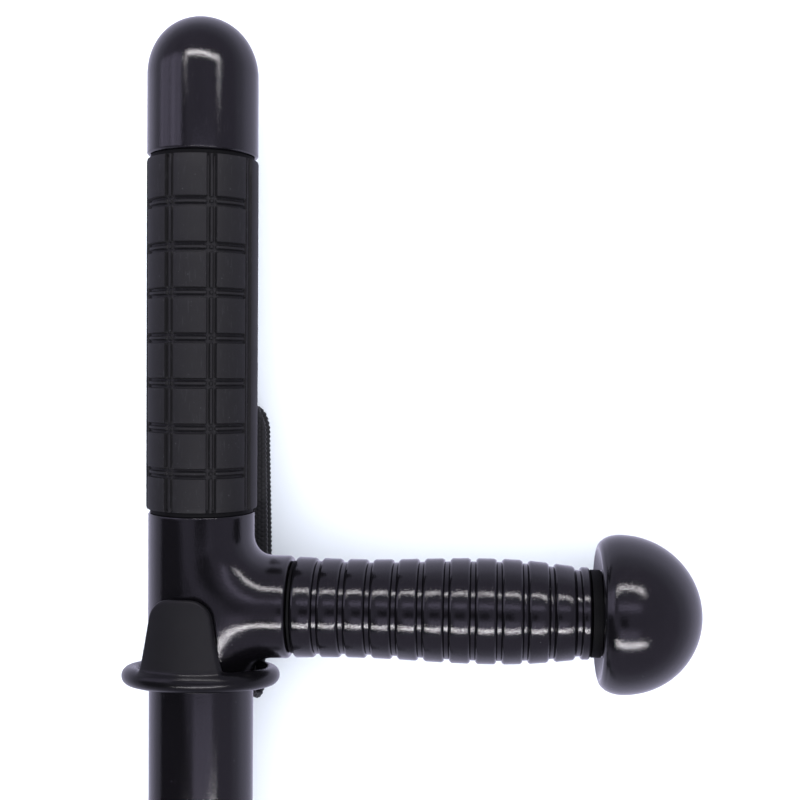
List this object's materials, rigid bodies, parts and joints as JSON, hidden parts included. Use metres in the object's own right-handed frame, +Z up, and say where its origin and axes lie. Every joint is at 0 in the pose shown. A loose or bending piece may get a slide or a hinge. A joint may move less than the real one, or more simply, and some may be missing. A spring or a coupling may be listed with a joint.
{
  "type": "side-handle baton with belt holder",
  "caption": "Gloss black baton with a rubber grip, domed cap, ribbed turning side handle and mushroom knob, carried in a ring holder with a webbing belt loop.",
  "frame": {"origin": "on the shaft's axis at the lower edge of the tee, where the bare shaft begins", "axes": "+Y along the shaft towards the domed cap, +X along the side handle towards its knob, +Z up out of the plane of the two, as the baton lies flat"},
  "size_m": [0.1764, 0.6098, 0.05],
  "materials": {
    "gloss_black": "polished injection-moulded plastic, near black",
    "grip_rubber": "matte moulded rubber with a faint dusty sheen",
    "matte_black": "matte black washers and rings",
    "holder_matte": "satin moulded nylon",
    "webbing": "black woven nylon webbing",
    "thread": "black bonded nylon thread",
    "core_aluminium": "drawn tube",
    "axle_steel": "turned steel",
    "insert_brass": "knurled brass insert",
    "bush_nylon": "natural nylon"
  },
  "bodies": {
    "baton": {"shaft_tube": "gloss_black", "tip_cap": "gloss_black", "core_tube": "core_aluminium", "tee_body": "gloss_black", "grip_ring_lower": "matte_black", "grip_ring_upper": "matte_black", "grip_sleeve": "grip_rubber", "end_cap": "gloss_black", "tee_insert": "insert_brass", "handle_core": "axle_steel", "root_washer": "matte_black", "neck_washer": "matte_black", "knob": "gloss_black", "knob_insert": "insert_brass"},
    "turning_handle": {"handle_grip": "gloss_black", "root_bush": "bush_nylon", "knob_bush": "bush_nylon"},
    "holder": {"holder_ring": "holder_matte", "loop_wrap": "webbing"},
    "belt_loop": {"belt_loop": "webbing", "loop_stitching": "thread"}
  },
  "joints": [
    {"name": "handle_spin", "type": "hinge", "parent": "baton", "child": "turning_handle", "pos_m": [0.0282, 0.022, 0], "axis": [1, 0, 0], "continuous": true},
    {"name": "holder_slide", "type": "slide", "parent": "baton", "child": "holder", "axis": [0, -1, 0], "range_m": [0, 0.44]},
    {"name": "loop_swing", "type": "hinge", "parent": "holder", "child": "belt_loop", "pos_m": [0, 0.005, -0.0256], "axis": [-1, 0, 0], "range_deg": [0, 90]}
  ]
}
